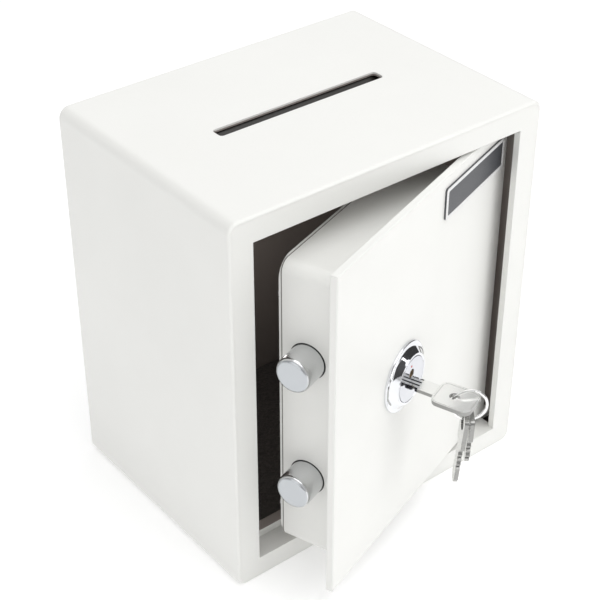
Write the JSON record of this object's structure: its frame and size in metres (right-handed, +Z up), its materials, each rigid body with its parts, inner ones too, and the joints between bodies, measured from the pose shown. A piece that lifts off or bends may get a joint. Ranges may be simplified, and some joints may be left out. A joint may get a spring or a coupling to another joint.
{
  "type": "donation box",
  "caption": "Small steel deposit safe for donations: top slot, ajar recessed door with lock case and live bolts, key lock with keys on a ring, felt mat, fixing holes.",
  "frame": {"origin": "centre of the case's footprint, on the underside of the case", "axes": "+Z up, the front of the case faces -Y, the door hinges on the +X side"},
  "size_m": [0.2, 0.2074, 0.225],
  "materials": {
    "cream_paint": "fine satin powder coat",
    "dark_paint": "matt dark primer",
    "zinc": "bright zinc plating",
    "steel": "plain milled steel",
    "chrome": "polished",
    "brass": "turned",
    "nickel": "nickel plated, lightly scratched",
    "mat_black": "needle felt",
    "badge": "printed, semi-matt"
  },
  "bodies": {
    "case": {"case_shell": "cream_paint", "back_panel": "cream_paint", "front_frame": "cream_paint", "door_stop_lower": "cream_paint", "door_stop_upper": "cream_paint", "bolt_keeper": "zinc", "floor_mat": "mat_black", "slot_baffle": "dark_paint", "hinge_bracket_lower": "cream_paint", "hinge_bracket_upper": "cream_paint", "hinge_pin_lower": "steel", "hinge_pin_upper": "steel", "hinge_washers": "brass"},
    "door": {"door_plate": "cream_paint", "blank_badge": "badge", "lock_case": "cream_paint", "lock_case_cover": "cream_paint", "cover_screws": "zinc", "hinge_lugs": "cream_paint", "lock_rose": "chrome", "lock_nut": "zinc", "bolt_guides": "steel"},
    "bolt_work": {"live_bolt_upper": "zinc", "live_bolt_lower": "zinc", "bolt_bar": "zinc", "bar_screws": "zinc"},
    "lock_cylinder": {"lock_plug": "chrome", "lock_cam": "zinc", "cam_screw": "brass"},
    "key": {"lock_key": "nickel"},
    "ring": {"key_ring": "nickel"},
    "long_key": {"spare_key_long": "nickel"},
    "short_key": {"spare_key_short": "nickel"}
  },
  "joints": [
    {"name": "door_hinge", "type": "hinge", "parent": "case", "child": "door", "pos_m": [0.074, -0.0565, 0.11225], "axis": [0, 0, 1], "range_deg": [-19.5, 75.5]},
    {"name": "bolt_throw", "type": "slide", "parent": "door", "child": "bolt_work", "axis": [-0.9426, -0.3338, 0], "range_m": [0, 0.011]},
    {"name": "lock_turn", "type": "hinge", "parent": "door", "child": "lock_cylinder", "pos_m": [-0.00744, -0.09913, 0.1112], "axis": [0.3338, -0.9426, 0], "range_deg": [0, 60]},
    {"name": "key_pull", "type": "slide", "parent": "lock_cylinder", "child": "key", "axis": [0.3338, -0.9426, 0], "range_m": [0, 0.021]},
    {"name": "ring_swing", "type": "hinge", "parent": "key", "child": "ring", "pos_m": [0.00699, -0.12676, 0.10907], "axis": [0.7826, -0.6225, 0], "range_deg": [-12, 12]},
    {"name": "long_key_swing", "type": "hinge", "parent": "ring", "child": "long_key", "pos_m": [0.00582, -0.12583, 0.09572], "axis": [0.7802, -0.6206, -0.0785], "range_deg": [-15, 15]},
    {"name": "short_key_swing", "type": "hinge", "parent": "ring", "child": "short_key", "pos_m": [0.00815, -0.12768, 0.09572], "axis": [0.7821, -0.6221, -0.0349], "range_deg": [-15, 15]}
  ],
  "couplings": [
    {"joint": "lock_turn", "follows": "bolt_throw", "rad_per_m": 95.2}
  ]
}
